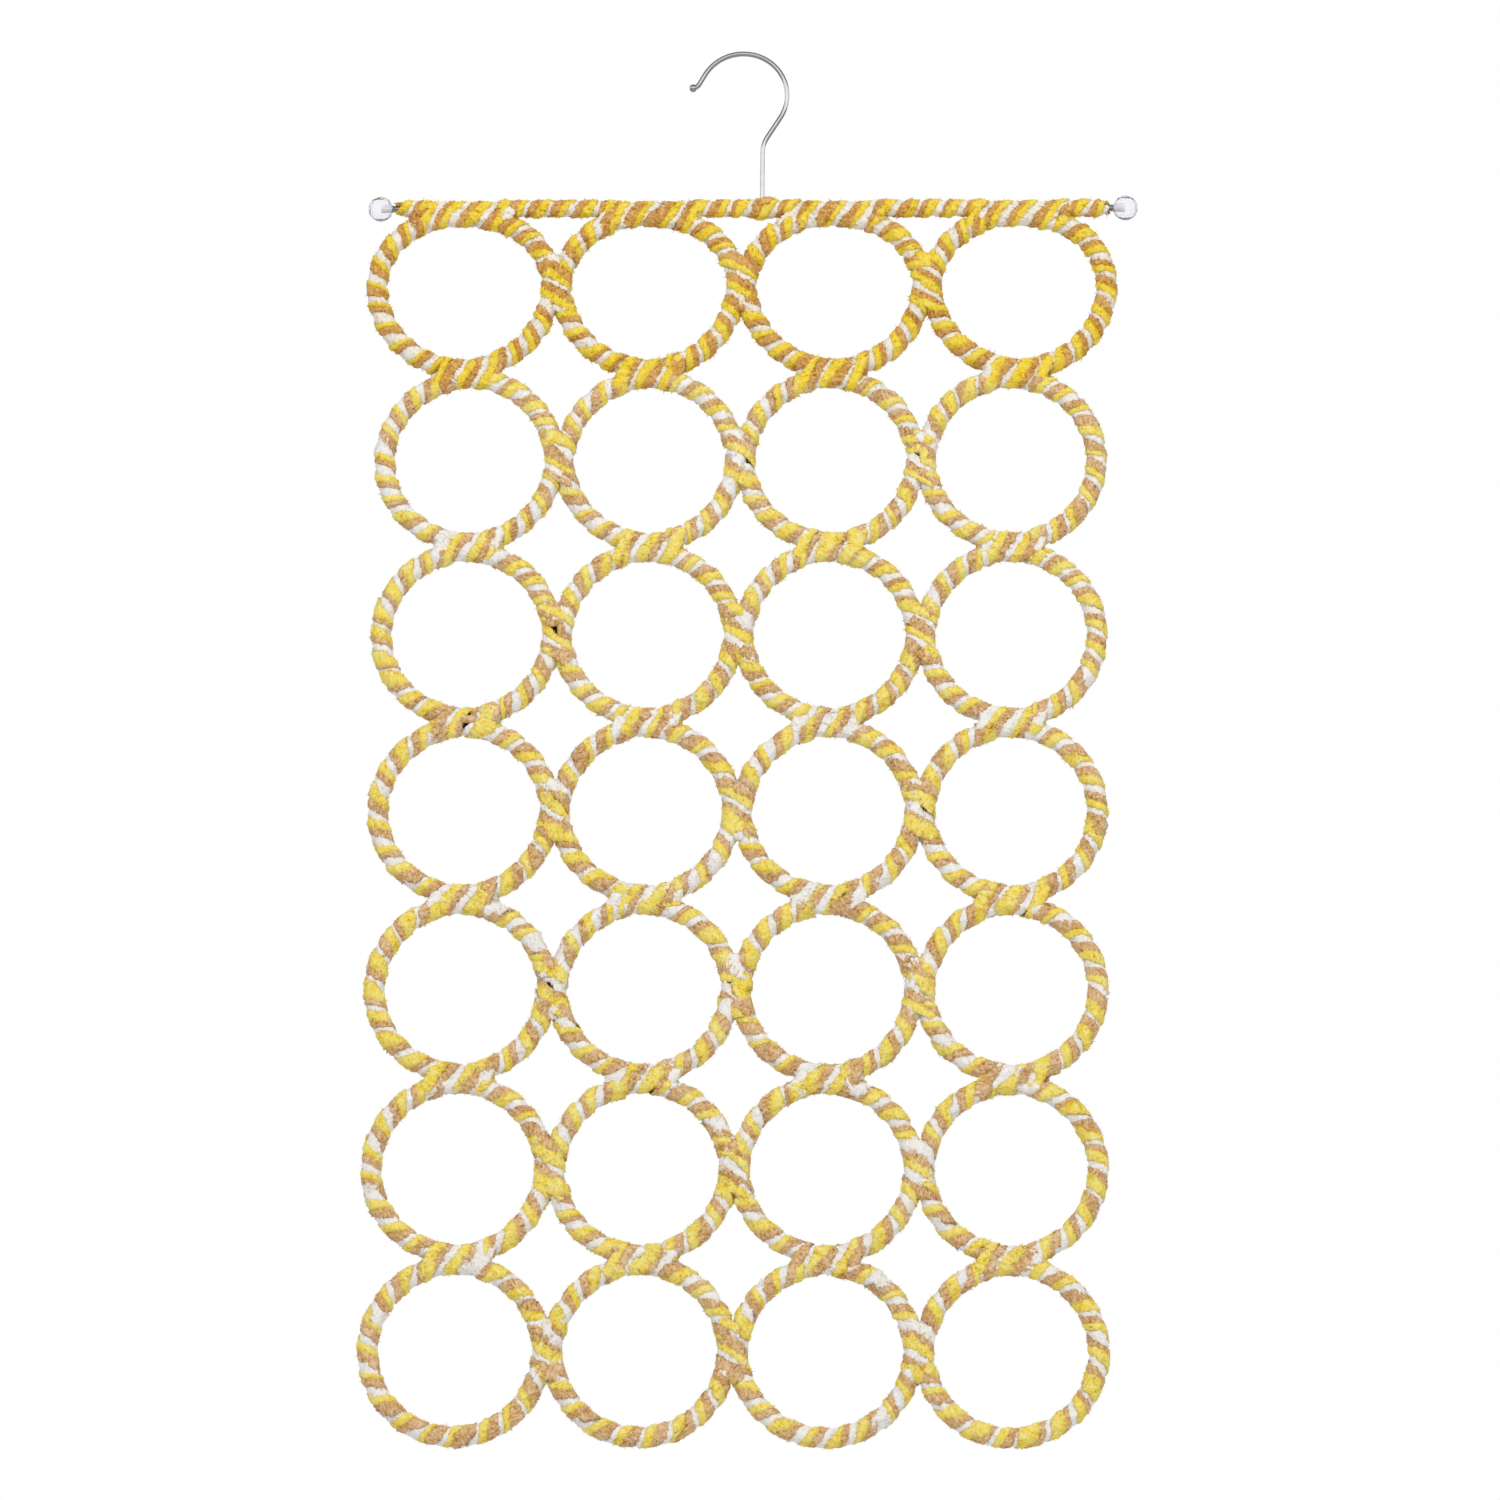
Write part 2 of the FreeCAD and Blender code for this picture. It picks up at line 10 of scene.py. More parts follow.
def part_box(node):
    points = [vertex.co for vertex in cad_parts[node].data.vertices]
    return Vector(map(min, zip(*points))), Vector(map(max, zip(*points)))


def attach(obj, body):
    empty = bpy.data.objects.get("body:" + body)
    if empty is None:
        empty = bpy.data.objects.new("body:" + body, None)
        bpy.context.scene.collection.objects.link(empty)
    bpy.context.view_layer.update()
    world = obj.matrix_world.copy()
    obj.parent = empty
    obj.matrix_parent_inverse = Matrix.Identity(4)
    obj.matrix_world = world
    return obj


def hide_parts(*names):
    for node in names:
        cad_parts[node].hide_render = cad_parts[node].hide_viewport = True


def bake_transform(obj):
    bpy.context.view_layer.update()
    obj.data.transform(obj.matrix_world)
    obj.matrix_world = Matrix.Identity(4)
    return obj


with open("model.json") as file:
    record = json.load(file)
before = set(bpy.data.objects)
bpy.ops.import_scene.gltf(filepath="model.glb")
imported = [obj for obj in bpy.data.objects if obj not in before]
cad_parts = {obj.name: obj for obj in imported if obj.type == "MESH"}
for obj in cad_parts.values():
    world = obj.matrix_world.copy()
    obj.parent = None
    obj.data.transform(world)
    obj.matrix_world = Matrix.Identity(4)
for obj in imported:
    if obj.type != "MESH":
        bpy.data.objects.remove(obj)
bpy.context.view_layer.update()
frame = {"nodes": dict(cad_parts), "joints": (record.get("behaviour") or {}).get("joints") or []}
print("frame loaded")

scene = bpy.context.scene
back = np.array([0.0, 1.0, 0.0])  # away from the camera
up = np.array([0.0, 0.0, 1.0])
right = np.array([1.0, 0.0, 0.0])
rows = 7
columns = 4

# chenille yarn in white, yellow and tan, all lengths in metres
yarn = {
    "colours": ("white", "yellow", "tan"),
    "share": {"bar": (0.37, 0.31, 0.32),  # of a turn, for each colour
              "top": (0.40, 0.30, 0.30),
              "lower": (0.37, 0.32, 0.31)},
    "thick": {"bar": (0.0019, 0.0027, 0.0025),
              "top": (0.0019, 0.0028, 0.0026),
              "lower": (0.0018, 0.0026, 0.0024)},
    # length of a turn, on the bar and then on each row
    "lead": (0.0108, 0.0106, 0.0112, 0.0114, 0.0128, 0.0130, 0.0130, 0.0130),
    "pitch": (0.6, 1.6),    # shortest and longest turn, as shares of that
    "slack": 1.15,          # turns of a lashing are longer by this
    "fullness": (1.28, 1.20, 1.20),  # strands are this much wider than their share
    "sides": 10,
    "crowd": 0.55,          # sides stand closer together on the outside
    "square": 0.85,         # 1 would be an ellipse
    "step": 0.0007,         # along a strand
    "body": 0.80,           # height of the strand under its pile, as a share
    "endSize": (0.45, 0.5),  # width and height at a strand's end, as shares
    "endLift": {"winding": 0.55, "lashing": 0.60, "bar": 0.45},  # how high an end lies, as a share
    "pile": 0.00070,        # longest pile of the strand itself
    "clumps": (0.2, 1.5),   # and how its clumps differ
    "clumpSteps": 3,
    "rough": {"bar": 1.5, "top": 1.5, "lower": 1.15},  # the upper yarn is more frayed
    "uneven": 0.05,
    "unevenLimit": (-1.5, 2.0),
    "swell": 0.16,          # slow change of the strand's width, and half of it in height
    "swellWave": (0.019, 0.013),
    # turns by which the three together, or one alone, run early or late
    "sway": {"winding": (0.13, 0.01), "lashing": (0.06, 0.01)},
    "wave": {"winding": 0.040, "lashing": 0.030},  # length of such slow changes
    "tuck": 0.004,          # length over which an end dives under
    "tufts": 3.6,           # to each step of a strand of the next width
    "tuftsWidth": 0.004,
    "tuft": (0.0002, 0.0010, 0.00026),  # shortest, longest, radius
    "root": 0.0003,         # depth of a tuft in the strand
    "lean": 0.55,
    "clump": 0.50,          # how much the clumps of tufts differ in length
    "clumpLimit": (-2.0, 1.2),
    "mottle": (0.24, 0.18),  # how much tufts and their clumps differ in tone
    "vary": {"winding": 0.30, "lashing": 0.40},  # how much the shares differ
    "differ": 0.6,          # from one stretch to the next, beside about 1 along a stretch
    "fickle": (0.4, 1.0, 1.0),  # the white least
}
# painted shade and random mottle of the pile, where more is lighter: painted shade toward the core and at the
# tufts' roots, painted light on long pile and at the tips
shadeAndMottleTones = {"tube": 0.08, "tubeRise": 0.25, "tubePile": 0.25, "tubeMottle": 0.5,
           "root": 0.2, "tip": 0.7, "tuftRise": 0.2}
seeds = {"perMetre": 10000, "shift": 2}  # a seed for each tenth of a millimetre, none below 0
arcPoints = 400


def unit(vectors):
    return vectors / np.linalg.norm(vectors, axis=-1, keepdims=True)


# the same random numbers for all three strands at one place
def drawAt(place):
    return np.random.default_rng([int(seeds["perMetre"] * (value + seeds["shift"])) for value in place])


# row 0 is the bar
def placeOf(row):
    return ("bar", "top", "lower")[min(row, 2)]


# each stretch divides its turns between the three colours in its own way, and unevenly along it
def strandPlan(strand, along, lead, spot, kind, draw):
    row, number = strand
    place, pick = placeOf(row), drawAt(spot)
    vary, wave = yarn["vary"][kind], yarn["wave"][kind]
    weights = [share * np.exp(fickle * vary * (pick.normal(0, yarn["differ"]) + wander(along, wave, pick)))
               for share, fickle in zip(yarn["share"][place], yarn["fickle"])]
    shares = [weight / sum(weights) for weight in weights]
    together, alone = yarn["sway"][kind]
    late = pick.uniform(0, 1) + together * wander(along, wave, pick)
    pitch = np.clip(1 / (1 + lead * np.gradient(late, along)), *yarn["pitch"])
    late = late + alone * wander(along, wave, draw)
    return {"turn": along / lead + late, "middle": sum(shares[:number]) + shares[number] / 2,
            "width": shares[number] * lead * pitch * yarn["fullness"][number],
            "thick": yarn["thick"][place][number], "rough": yarn["rough"][place], "order": 1}


# slow noise along a strand, within about -1 and 1
def wander(along, wave, draw):
    total = np.zeros_like(along)
    for part in (1.0, 1.9, 3.3):
        start = draw.uniform(0, 2 * math.pi)
        total += np.sin(along * (2 * math.pi * part / wave) + start) / (1 + part)
    return total


# from 0 to 1 without a corner
def smooth(share):
    share = np.clip(share, 0, 1)
    return share * share * (3 - 2 * share)


# 0 at both ends of a stretch, 1 in the middle
def endFade(along, first, last, fade):
    return smooth(np.minimum(along - first, last - along) / fade)


# a share of the full size where fade is 0, all of it where fade is 1
def thinned(least, fade):
    return least + (1 - least) * fade


# a core's centre line as a table: length from its lowest point, place, outward
def lineTable(pieces):
    place = np.concatenate([piece[0] for piece in pieces])
    outward = np.concatenate([piece[1] for piece in pieces])
    steps = np.linalg.norm(np.diff(place, axis=0), axis=1)
    length = np.concatenate([[0], np.cumsum(steps)])
    return length, place, outward


def arcPiece(centre, radius, first, last):
    angle = np.linspace(first, last, arcPoints)
    outward = np.outer(np.sin(angle), right) - np.outer(np.cos(angle), up)
    return centre + radius * outward, outward


def lineAt(line, along):
    length, place, outward = line["table"]
    half = length[-1]
    turned = np.mod(along + half, 2 * half) - half
    flip = np.where(turned < 0, -1.0, 1.0)
    spot = np.column_stack([np.interp(abs(turned), length, place[:, k]) for k in range(3)])
    facing = np.column_stack([np.interp(abs(turned), length, outward[:, k]) for k in range(3)])
    middle = line["middle"]
    spot[:, 0] = middle + flip * (spot[:, 0] - middle)
    facing[:, 0] = flip * facing[:, 0]
    return spot, unit(facing)


topArch = {"radius": 0.058, "half": 0.020}  # shallow arch over a ring of the top row
facingUp = 0.1  # outward rises by more than this on the upper part of a core


# foot circle, corner and half the arch of a top ring
def archPieces(centre, radius, rise):
    arch = topArch["radius"]
    lean = math.asin(topArch["half"] / arch)
    spread, press = arch - radius, radius - rise
    room = press * math.cos(lean) - spread * (1 - math.cos(lean))
    reach = press * (2 * spread + press) / (2 * room)
    bend = np.array([reach * math.sin(lean), 0, rise - arch + reach * math.cos(lean)])
    turn = math.atan2(bend[0], -bend[2])
    return [arcPiece(centre, radius, 0, turn),
            arcPiece(centre + bend, arch - reach, turn, math.pi - lean),
            arcPiece(centre + (rise - arch) * up, arch, math.pi - lean, math.pi)]


def coreLine(row, column):
    low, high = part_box(f"ring_row_{row}_col_{column}")
    thick = (high.y - low.y) / 2
    radius = (high.x - low.x) / 2 - thick
    middle = (high.x + low.x) / 2
    centre = np.array([middle, 0.0, low.z + thick + radius])
    if row > 1:
        pieces = [arcPiece(centre, radius, 0, math.pi)]
    else:
        pieces = archPieces(centre, radius, high.z - thick - centre[2])
    table = lineTable(pieces)
    return {"table": table, "middle": middle, "core": thick, "radius": radius,
            "centre": centre, "half": table[0][-1], "top": high.z - thick,
            "bottom": low.z + thick}


# how far a core has dropped at a distance from its top
def dropFromTop(line, away):
    place, outward = line["table"][1:]
    upper = outward[:, 2] > facingUp
    reach = place[upper, 0] - line["middle"]
    return line["top"] - np.interp(abs(away), reach[::-1], place[upper, 2][::-1])


cores = {(row, column): coreLine(row, column)
         for row in range(1, rows + 1) for column in range(1, columns + 1)}
hinge = {joint["child"]: joint["pos_m"] for joint in frame["joints"]}
print("core lines found")


# one strand: a tube pressed flat against its core, with uneven pile
def strandTube(strand, draw):
    path, outward, fade = strand["path"], strand["outward"], strand["fade"]
    count, sides = len(path), yarn["sides"]
    tangent = unit(np.gradient(path, axis=0))
    side = unit(np.cross(tangent, outward))
    facing = np.cross(side, tangent)
    along = np.arange(count) * yarn["step"]
    wideWave, highWave = yarn["swellWave"]
    wideEnd, highEnd = yarn["endSize"]
    plump = 1 + yarn["swell"] * wander(along, wideWave, draw)
    wide = strand["width"] / 2 * plump * thinned(wideEnd, fade)
    high = yarn["body"] * strand["thick"] / 2 * thinned(highEnd, fade)
    high = high * (1 + 0.5 * yarn["swell"] * wander(along, highWave, draw))
    slant = np.arange(count)[:, None] % 2 / 2  # every second ring is turned by half a side
    angle = (np.arange(sides)[None, :] + 0.25 + slant) * 2 * math.pi / sides
    angle = angle - yarn["crowd"] * np.sin(angle)
    rise, reach = np.cos(angle), np.sin(angle)
    outside = np.clip(rise + 0.5, 0, 1)  # 0 against the core
    ragged = draw.normal(0, 1, (count, sides)).clip(*yarn["unevenLimit"])
    lift = 1 + outside * ragged * yarn["uneven"] * strand["rough"]
    steps = yarn["clumpSteps"]
    clump = np.repeat(draw.uniform(*yarn["clumps"], count // steps + 1), steps)[:count, None]
    pile = outside * clump * draw.uniform(0, 1, (count, sides))
    spread = np.sign(reach) * np.abs(reach) ** yarn["square"]
    ray = facing[:, None, :] * (rise * high[:, None])[..., None]
    ray = ray + side[:, None, :] * (spread * wide[:, None])[..., None]
    verts = path[:, None, :] + ray * lift[..., None] + unit(ray) * (yarn["pile"] * pile)[..., None]
    # painted shade in the valleys toward the core, painted light on long pile, and random mottle
    shadeAndMottle = shadeAndMottleTones["tube"] + shadeAndMottleTones["tubeRise"] * rise + shadeAndMottleTones["tubePile"] * pile
    shadeAndMottle = shadeAndMottle + shadeAndMottleTones["tubeMottle"] * yarn["mottle"][0] * draw.normal(0, 1, (count, sides))
    aside = strand["order"] * spread
    return (verts.reshape(-1, 3), unit(ray).reshape(-1, 3),
            shadeAndMottle.reshape(-1), rise.reshape(-1), aside.reshape(-1))


def tubeFaces(count, sides):
    ring = np.arange(count - 1)[:, None] * sides
    spot = np.arange(sides)[None, :]
    after = (spot + 1) % sides
    quads = np.stack([ring + spot, ring + after, ring + sides + after, ring + sides + spot], -1)
    fan = np.arange(1, sides - 1)
    start = np.stack([0 * fan, fan + 1, fan], -1)
    end = np.stack([0 * fan, fan, fan + 1], -1) + (count - 1) * sides
    return quads.reshape(-1, 4), np.concatenate([start, end])


# the pile: short three-sided tufts rooted on the outside of the strand
def pileTufts(verts, ray, rise, aside, strand, draw):
    rough = strand["rough"]
    sides = yarn["sides"]
    weight = np.cumsum(np.repeat(strand["width"], sides)[:-sides]) / yarn["tuftsWidth"] / sides
    chosen = np.searchsorted(weight, draw.uniform(0, weight[-1], int(yarn["tufts"] * weight[-1])))
    chosen = chosen[rise[chosen] > 0]
    share = draw.uniform(0, 1, (len(chosen), 1))
    seat = verts[chosen] * (1 - share) + verts[chosen + sides] * share
    shortest, longest, radius = yarn["tuft"]
    out = ray[chosen]
    lean = unit(out + draw.normal(0, yarn["lean"], out.shape))
    sideways = unit(np.cross(lean, draw.normal(0, 1, out.shape)))
    across = np.cross(lean, sideways)
    corners = [seat - out * yarn["root"] + radius * (math.cos(turn) * sideways + math.sin(turn) * across)
               for turn in (0, 2 * math.pi / 3, 4 * math.pi / 3)]
    clump = draw.normal(0, 1, (len(verts), 2))[chosen]
    longer = np.exp(rough * yarn["clump"] * clump[:, 0].clip(*yarn["clumpLimit"]))
    length = draw.uniform(shortest, longest, len(out)) * longer
    tip = seat + lean * length[:, None]
    tone = yarn["mottle"][0] * draw.normal(0, 1, len(out)) + yarn["mottle"][1] * rough * clump[:, 1]
    # painted shade toward the core and at the roots, painted light at the tips, over random mottle
    tone = (tone + shadeAndMottleTones["tuftRise"] * rise[chosen])[:, None]
    shadeAndMottle = np.hstack([shadeAndMottleTones["root"] + tone] * 3 + [shadeAndMottleTones["tip"] + tone])
    first = 4 * np.arange(len(out))[:, None]
    faces = np.concatenate([first + corner for corner in ([0, 1, 3], [1, 2, 3], [2, 0, 3], [2, 1, 0])])
    return np.stack([*corners, tip], 1).reshape(-1, 3), faces, shadeAndMottle.ravel(), np.repeat(aside[chosen], 4)


def yarnMesh(name, strands, draw):
    verts, shadeAndMottle, beside, quads, tris, first = [], [], [], [], [], 0
    for strand in strands:
        tube, ray, tubeShadeAndMottle, rise, aside = strandTube(strand, draw)
        around, caps = tubeFaces(len(strand["path"]), yarn["sides"])
        tufts, tuftFaces, tuftShadeAndMottle, tuftAside = pileTufts(tube, ray, rise, aside, strand, draw)
        verts += [tube, tufts]
        shadeAndMottle += [tubeShadeAndMottle, tuftShadeAndMottle]
        beside += [aside, tuftAside]
        quads.append(around + first)
        tris += [caps + first, tuftFaces + first + len(tube)]
        first += len(tube) + len(tufts)
    quads, tris = np.concatenate(quads), np.concatenate(tris)
    mesh = bpy.data.meshes.new(name)
    mesh.vertices.add(first)
    mesh.vertices.foreach_set("co", np.concatenate(verts).ravel())
    mesh.loops.add(quads.size + tris.size)
    mesh.loops.foreach_set("vertex_index", np.concatenate([quads.ravel(), tris.ravel()]))
    mesh.polygons.add(len(quads) + len(tris))
    mesh.polygons.foreach_set("loop_start", np.concatenate(
        [4 * np.arange(len(quads)), quads.size + 3 * np.arange(len(tris))]))
    for label, values in (("shadeAndMottle", shadeAndMottle), ("aside", beside)):
        mesh.attributes.new(label, "FLOAT", "POINT").data.foreach_set(
            "value", np.concatenate(values).astype(np.float32))
    mesh.polygons.foreach_set("use_smooth", np.ones(len(mesh.polygons), bool))
    mesh.update(calc_edges=True)
    obj = bpy.data.objects.new(name, mesh)
    scene.collection.objects.link(obj)
    return obj


# a strand wound on a stretch of ring core
def windingStrand(line, first, last, strand, draw):
    row, number = strand
    lead, thick = yarn["lead"][row], yarn["thick"][placeOf(row)][number]
    stretch = math.hypot(1, 2 * math.pi * (line["core"] + thick / 2) / lead)
    along = np.arange(first, last, yarn["step"] / stretch)
    plan = strandPlan(strand, along, lead, (*line["centre"], first), "winding", draw)
    turn = 2 * math.pi * (plan["turn"] - plan["middle"])
    fade = endFade(along, first, last, lash["dive"])
    spot, facing = lineAt(line, along)
    radial = np.cos(turn)[:, None] * facing - np.sin(turn)[:, None] * back
    lift = line["core"] + thick / 2 * thinned(yarn["endLift"]["winding"], fade)
    return {**plan, "path": spot + radial * lift[:, None], "outward": radial, "fade": fade}


# a strand looped round two cores; its first turns leave the upper core and its last the lower
def lashingStrand(seat, strand, draw):
    half = seat["half"]
    along = np.arange(-half, half, yarn["step"] / lash["stretch"])
    lead = yarn["lead"][strand[0]] * yarn["slack"]
    plan = strandPlan(strand, along, lead, seat["middle"], "lashing", draw)
    thick = plan["thick"] * lash["press"]
    fade = endFade(along, -half, half, lash["thin"])
    swell = thick / 2 * thinned(yarn["endLift"]["lashing"], fade) + lash["clear"]
    swell += lash["over"] * (1 - endFade(along, -half, half, lash["overlap"]))
    aroundUp, aroundDown = seat["coreUp"] + swell, seat["coreDown"] + swell
    high, low = seat["gapUp"](along), seat["gapDown"](along)
    leaveUp = smooth((lash["leave"] - half - along) / lash["leave"])
    leaveDown = smooth((lash["leave"] - half + along) / lash["leave"])
    high, low = high * (1 - leaveUp) - low * leaveUp, low * (1 - leaveDown) - high * leaveDown
    apart = np.maximum(high + low, lash["leastApart"])
    perimeter = 2 * apart + math.pi * (aroundUp + aroundDown)
    turn = plan["turn"] - seat["order"] * plan["middle"]
    spot = np.mod(turn, 1) * perimeter
    edges = np.cumsum(np.stack([apart, math.pi * aroundUp, apart]), axis=0)
    share = spot / apart
    turnUp = (spot - edges[0]) / aroundUp
    shareBack = (spot - edges[1]) / apart
    turnDown = (spot - edges[2]) / aroundDown
    where = [spot < edges[0], spot < edges[1], spot < edges[2]]
    rise = np.select(where, [-low + spot, high + aroundUp * np.sin(turnUp), high - shareBack * apart],
                     -low - aroundDown * np.sin(turnDown))
    depth = np.select(where, [-(aroundDown + (aroundUp - aroundDown) * share), -aroundUp * np.cos(turnUp),
                              aroundUp + (aroundDown - aroundUp) * shareBack],
                      aroundDown * np.cos(turnDown))
    outRise = np.select(where, [0 * spot, np.sin(turnUp), 0 * spot], -np.sin(turnDown))
    outDepth = np.select(where, [0 * spot - 1, -np.cos(turnUp), 0 * spot + 1], np.cos(turnDown))
    hole = seat.get("hole")
    if hole:  # strands pushed apart, so that the dark core shows between them
        away = along - hole["at"]
        reach = np.hypot(away, rise - hole["rise"])
        front = np.where(depth < 0, 1.0, 0.0)
        along = along + front * np.sign(away) * hole["size"] * np.exp(-(reach / hole["spread"]) ** 2)
    tall = np.maximum(high + aroundUp, low + aroundDown)
    along = along + lash["shear"] * np.clip(rise / tall, -1, 1)
    path = seat["middle"] + np.outer(along, seat["axis"]) + np.outer(rise, seat["across"])
    path = path + np.outer(depth, back)
    outward = np.outer(outRise, seat["across"]) + np.outer(outDepth, back)
    return {**plan, "path": path, "outward": unit(outward), "fade": fade, "thick": thick,
            "order": seat["order"]}


# where the yarn changes from winding to lashing
lash = {
    "side": 0.0130,      # half lengths along the cores
    "row": 0.0152,
    "bar": 0.0235,
    "stretch": 3.4,      # about the length of a strand for each length of its lashing
    "press": 0.70,       # lashings are pulled tight, so they lie flatter
    "clear": 0.0001,     # between a strand and its core
    "leastApart": 0.00001,
    "thin": 0.0012,      # a lashing's ends thin out over this length
    "shear": 0.0017,     # turns lean this far to each side
    "leave": 0.0045,     # length over which the end turns go over to one core
    "overlap": 0.0075,   # windings run this far under a lashing
    "dive": 0.0045,      # their ends thin out over this length
    "over": 0.0008,      # and lift the lashing's end turns by this
    "blendUp": 0.0055,   # a row's lashing turns over this height above its hinge
    "blendDown": 0.0012,
}
# lashings where the dark core peeps out, by upper or left ring
peeps = {("side", 5, 2): 0.0044, ("side", 2, 2): 0.0036, ("side", 2, 3): 0.0030, ("side", 3, 1): 0.0034,
         ("side", 5, 1): 0.0034, ("side", 4, 3): 0.0034, ("row", 3, 1): 0.0034, ("row", 3, 3): 0.0036,
         ("row", 6, 2): 0.0030}
peepHole = {"along": 0.002, "rise": 0.001, "spread": 0.0036}


def peep(kind, row, column):
    size = peeps.get((kind, row, column))
    if not size:
        return None
    draw = np.random.default_rng(row * 10 + column)
    return {"at": draw.uniform(-peepHole["along"], peepHole["along"]),
            "rise": draw.uniform(-peepHole["rise"], peepHole["rise"]),
            "size": size, "spread": peepHole["spread"]}


# wound stretches of a ring's core, between its lashings and a little under them
def openSpans(row, column):
    line = cores[row, column]
    half = line["half"]
    quarter = line["radius"] * math.pi / 2
    zones = []
    if row < rows:
        zones.append((0, lash["row"]))
    if column < columns:
        zones.append((quarter, lash["side"]))
    if column > 1:
        zones.append((2 * half - quarter, lash["side"]))
    zones.append((half, lash["row"] if row > 1 else lash["bar"]))
    zones.sort()
    spans = []
    for here, (middle, reach) in enumerate(zones):
        following = zones[(here + 1) % len(zones)]
        start = middle + reach - lash["overlap"]
        end = following[0] - following[1] + lash["overlap"]
        if end < start:
            end += 2 * half
        spans.append((start, end))
    return spans


# half the distance between two cores, and what the upper or lower one curves away
def curveAway(apart, radius, shift=0.0):
    return lambda along: apart + radius - np.sqrt(radius ** 2 - (along + shift) ** 2)


def ringStrands(row, strand, draw):
    strands = []
    for column in range(1, columns + 1):
        for start, end in openSpans(row, column):
            strands.append(windingStrand(cores[row, column], start, end, strand, draw))
    for column in range(1, columns):
        left, near = cores[row, column], cores[row, column + 1]
        edgeLeft = left["middle"] + left["radius"]
        edgeRight = near["middle"] - near["radius"]
        gap = curveAway((edgeRight - edgeLeft) / 2, left["radius"])
        strands.append(lashingStrand({
            "middle": np.array([(edgeLeft + edgeRight) / 2, 0, left["centre"][2]]),
            "axis": up, "across": -right, "half": lash["side"], "gapUp": gap, "gapDown": gap,
            "coreUp": left["core"], "coreDown": near["core"],
            "order": 1, "hole": peep("side", row, column)}, strand, draw))
    return strands


def rowLashStrands(row, strand, draw):
    strands = []
    for column in range(1, columns + 1):
        above, below = cores[row, column], cores[row + 1, column]
        middle = np.array([(above["middle"] + below["middle"]) / 2, 0,
                           (above["bottom"] + below["top"]) / 2])
        apart = (above["bottom"] - below["top"]) / 2
        shift = middle[0] - above["middle"]
        strands.append(lashingStrand({
            "middle": middle, "axis": right, "across": up, "half": lash["row"],
            "gapUp": curveAway(apart, above["radius"], shift),
            "gapDown": curveAway(apart, below["radius"], -shift),
            "coreUp": above["core"], "coreDown": below["core"],
            "order": 1, "hole": peep("row", row, column)}, strand, draw))
    return strands


# yarn on the bar; it parts for the hook's shank, covers its foot and thins out at the necks
bar = {
    "core": 0.0017,
    "parting": 0.0024,     # strands stand aside by this at the shank
    "partingReach": 0.0030,
    "partingSide": 0.3,    # they part on the top and a little below the bar's middle
    "clear": 0.0002,       # between the yarn and a neck
    "thin": 0.006,
    "bulge": 0.0014,
    "bulgeReach": 0.0042,
    "bulgeFlank": 0.4,     # bulge at the front and back, as a share
    "shortest": 0.002,     # stretches below this aren't wound
}


def barWinding(start, end, thinStart, thinEnd, strand, draw):
    row, number = strand
    lead, thick = yarn["lead"][row], yarn["thick"][placeOf(row)][number]
    stretch = math.hypot(1, 2 * math.pi * (bar["core"] + thick / 2) / lead)
    along = np.arange(start, end, yarn["step"] / stretch)
    plan = strandPlan(strand, along, lead, (start, end), "winding", draw)
    turn = 2 * math.pi * (plan["turn"] + plan["middle"])
    tuck = yarn["tuck"] / stretch
    fadeStart = bar["thin"] if thinStart else tuck
    fadeEnd = bar["thin"] if thinEnd else tuck
    fade = np.minimum(smooth((along - start) / fadeStart), smooth((end - along) / fadeEnd))
    lift = bar["core"] + thick / 2 * thinned(yarn["endLift"]["bar"], fade)
    radial = np.outer(np.sin(turn), up) - np.outer(np.cos(turn), back)
    away = along - hinge["bar"][0]
    bulge = bar["bulge"] * np.exp(-(away / bar["bulgeReach"]) ** 2)
    lift += bulge * thinned(bar["bulgeFlank"], abs(np.sin(turn)))
    topSide = np.clip(np.sin(turn) + bar["partingSide"], 0, 1)
    parted = along + topSide * np.sign(away) * bar["parting"] * np.exp(-(away / bar["partingReach"]) ** 2)
    path = np.outer(parted, right) + hinge["bar"][2] * up + radial * lift[:, None]
    return {**plan, "path": path, "outward": radial, "fade": fade, "order": -1}


def barStrands(strand, draw):
    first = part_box("left_finial_ferrule")[1].x + bar["clear"]
    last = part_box("right_finial_ferrule")[0].x - bar["clear"]
    stops = [first]
    for column in range(1, columns + 1):
        middle = cores[1, column]["middle"]
        stops += [middle - lash["bar"] + lash["overlap"], middle + lash["bar"] - lash["overlap"]]
    stops.append(last)
    strands = [barWinding(start, end, start == first, end == last, strand, draw)
               for start, end in zip(stops[::2], stops[1::2]) if end - start > bar["shortest"]]
    for column in range(1, columns + 1):
        line = cores[1, column]
        apart = (hinge["bar"][2] - line["top"]) / 2
        strands.append(lashingStrand({
            "middle": np.array([line["middle"], 0, line["top"] + apart]), "axis": right, "across": up,
            "half": lash["bar"], "gapUp": lambda along, apart=apart: apart + 0 * along,
            "gapDown": lambda along, apart=apart, line=line: apart + dropFromTop(line, along),
            "coreUp": bar["core"], "coreDown": line["core"], "order": -1}, strand, draw))
    return strands


def srgb(red, green, blue):
    out = []
    for value in (red, green, blue):
        share = value / 255
        out.append(share / 12.92 if share <= 0.04045 else ((share + 0.055) / 1.055) ** 2.4)
    return (*out, 1.0)


def newMaterial(name):
    material = bpy.data.materials.new(name)
    material.use_nodes = True
    nodes = material.node_tree.nodes
    return material, nodes, material.node_tree.links, nodes["Principled BSDF"]


def addNode(nodes, kind, **settings):
    node = nodes.new(kind)
    for key, value in settings.items():
        if hasattr(node, key):
            setattr(node, key, value)
        else:
            node.inputs[key.replace("_", " ")].default_value = value
    return node


